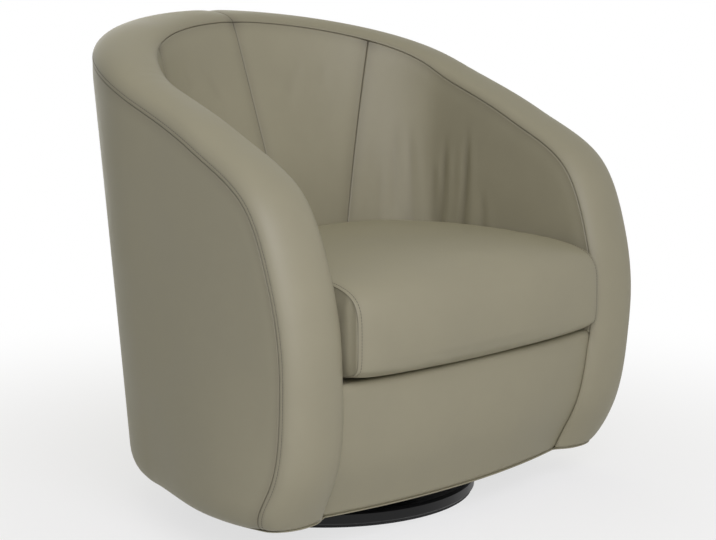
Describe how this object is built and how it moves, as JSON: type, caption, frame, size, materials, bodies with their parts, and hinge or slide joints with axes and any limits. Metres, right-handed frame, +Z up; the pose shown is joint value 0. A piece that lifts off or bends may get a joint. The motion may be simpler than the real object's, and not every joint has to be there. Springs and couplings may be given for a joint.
{
  "type": "swivel tub chair",
  "caption": "Leather-covered tub chair with wrap-round arms, a loose seat cushion and a low round base on a ball bearing, so that the seat turns freely.",
  "frame": {"origin": "centre of the underside of the base pad, on the swivel axis", "axes": "+Z up along the swivel axis, the sitter faces -Y, +X is to the right seen from the front"},
  "size_m": [0.811, 0.7063, 0.784],
  "materials": {
    "leather": "smooth semi-matt hide, warm taupe grey",
    "foam": "open-cell cushion foam",
    "plywood": "unfinished birch plywood",
    "fibreboard": "thin brown fibreboard",
    "steel": "zinc plated",
    "black_board": "satin black lacquer",
    "black_rubber": "matt black rubber sheet",
    "black_cloth": "thin black lining cloth",
    "zip_nylon": "nylon coil zip on tape"
  },
  "bodies": {
    "base": {"base_plate": "black_board", "base_pad": "black_rubber", "base_riser": "black_board", "base_screws": "steel", "lower_race": "steel", "lower_race_screws": "steel", "bearing_balls": "steel", "ball_cage": "steel"},
    "tub": {"upper_race": "steel", "upper_race_bolts": "steel", "bottom_board": "plywood", "dust_cover": "black_cloth", "rim_rail_left": "plywood", "rim_rail_right": "plywood", "arm_facing_left": "plywood", "arm_facing_right": "plywood", "back_posts": "plywood", "arm_posts": "plywood", "side_rail_left": "plywood", "side_rail_right": "plywood", "back_rail": "plywood", "front_rail": "plywood", "seat_springs": "steel", "spring_clips": "steel", "deck_pad": "foam", "deck_cover": "black_cloth", "outer_board_left": "fibreboard", "outer_board_right": "fibreboard", "inner_board_left": "fibreboard", "inner_board_right": "fibreboard", "back_board": "fibreboard", "outer_pad_left": "foam", "outer_pad_right": "foam", "arm_foam_left": "foam", "arm_foam_right": "foam", "back_foam": "foam", "rim_pad_left": "foam", "rim_pad_right": "foam", "front_pad": "foam", "outer_cover_left": "leather", "outer_cover_right": "leather", "rim_band_left": "leather", "rim_band_right": "leather", "inside_back_left": "leather", "inside_back_right": "leather", "inside_arm_left": "leather", "inside_arm_right": "leather", "front_panel": "leather"},
    "cushion": {"cushion_core": "foam", "cushion_wrap": "leather", "cushion_gusset_left": "leather", "cushion_gusset_right": "leather", "cushion_back_strip": "leather", "cushion_zip": "zip_nylon"}
  },
  "joints": [
    {"name": "swivel", "type": "hinge", "parent": "base", "child": "tub", "pos_m": [0, 0, 0.0535], "axis": [0, 0, 1], "continuous": true},
    {"name": "cushion_lift", "type": "slide", "parent": "tub", "child": "cushion", "axis": [0, 0, 1], "range_m": [0, 0.35]}
  ]
}
